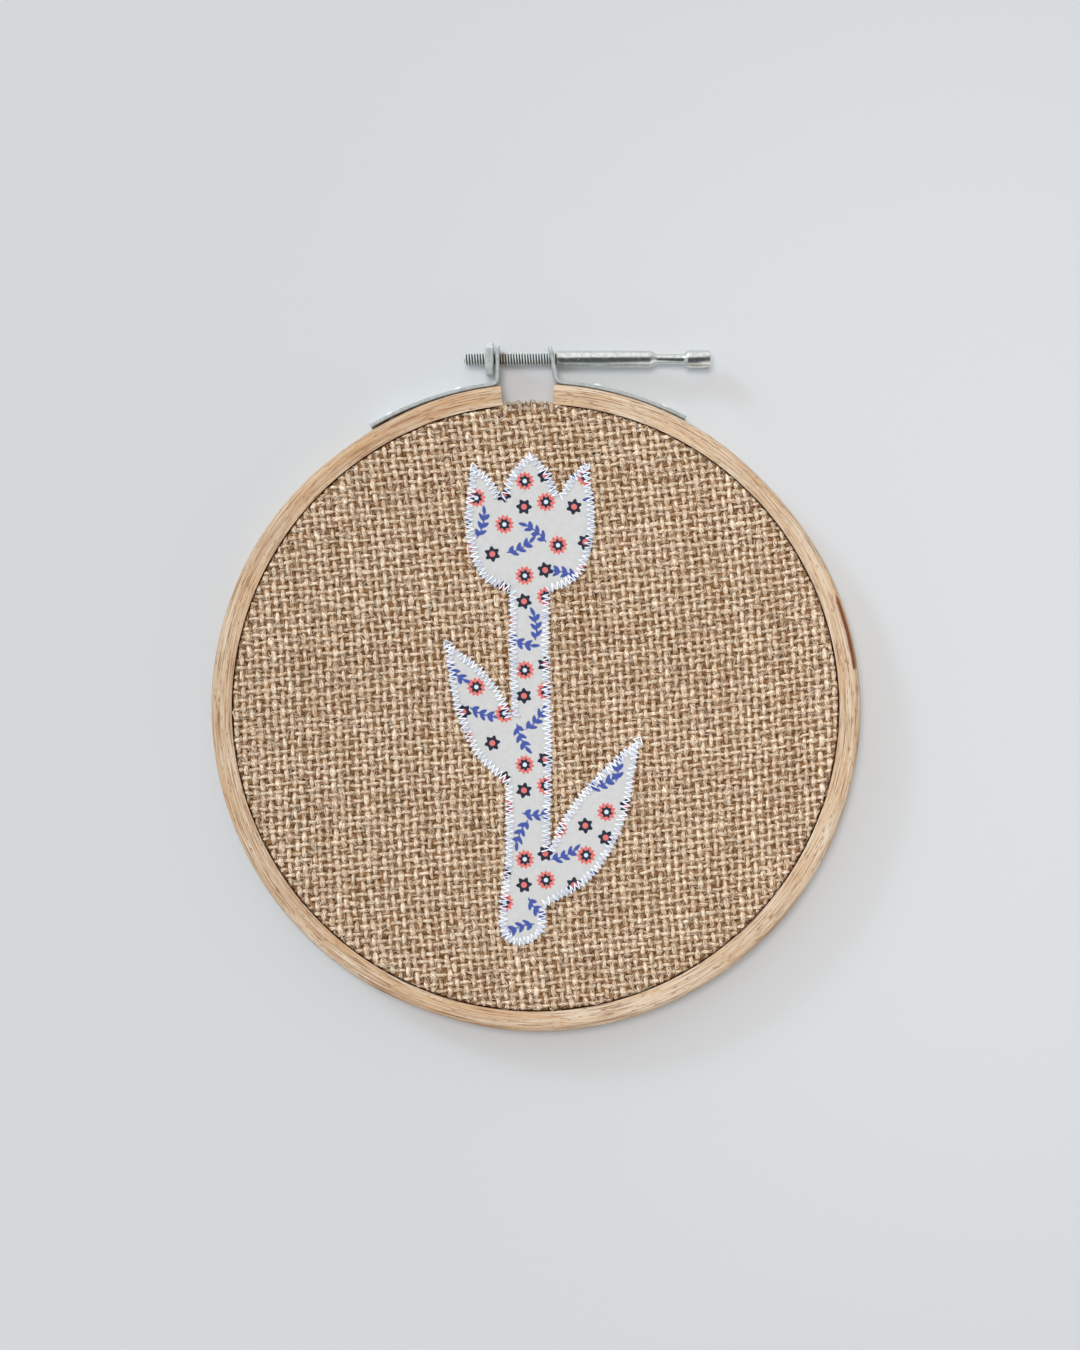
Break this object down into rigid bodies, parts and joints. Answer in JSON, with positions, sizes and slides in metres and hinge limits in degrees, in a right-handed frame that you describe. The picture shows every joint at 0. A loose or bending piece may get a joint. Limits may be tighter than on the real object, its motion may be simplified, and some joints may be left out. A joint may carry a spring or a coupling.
{
  "type": "hoop embroidery art, an appliqued burlap panel held in a wooden embroidery hoop",
  "caption": "Round wooden embroidery hoop with burlap stretched drum tight and a printed cotton flower appliqued on it, closed by a long clamp screw between two riveted brackets.",
  "frame": {"origin": "middle of the underside of the object's box, on the surface that the hoop's back rims lie on", "axes": "+Z out of the picture, away from the surface; +Y towards the clamp screw, the picture's top; +X to the picture's right"},
  "size_m": [0.162, 0.1726, 0.0111],
  "materials": {
    "beech": "bare sanded beech, satin, with fine brown grain round the ring",
    "jute_burlap": "plain woven jute, open and slubby, matt, with loose fibres",
    "printed_cotton": "fine plain cotton, matt, pale grey with small coral, navy and blue flowers",
    "zinc_plated_steel": "bright bluish zinc plating, slightly dulled"
  },
  "bodies": {
    "root": {"outer_hoop": "beech", "inner_hoop": "beech", "burlap_cloth": "jute_burlap", "flower_applique": "printed_cotton", "bracket_left": "zinc_plated_steel", "bracket_right": "zinc_plated_steel", "rivet_left_1": "zinc_plated_steel", "rivet_left_2": "zinc_plated_steel", "rivet_right_1": "zinc_plated_steel", "rivet_right_2": "zinc_plated_steel", "clamp_screw": "zinc_plated_steel", "clamp_nut": "zinc_plated_steel"}
  },
  "joints": []
}
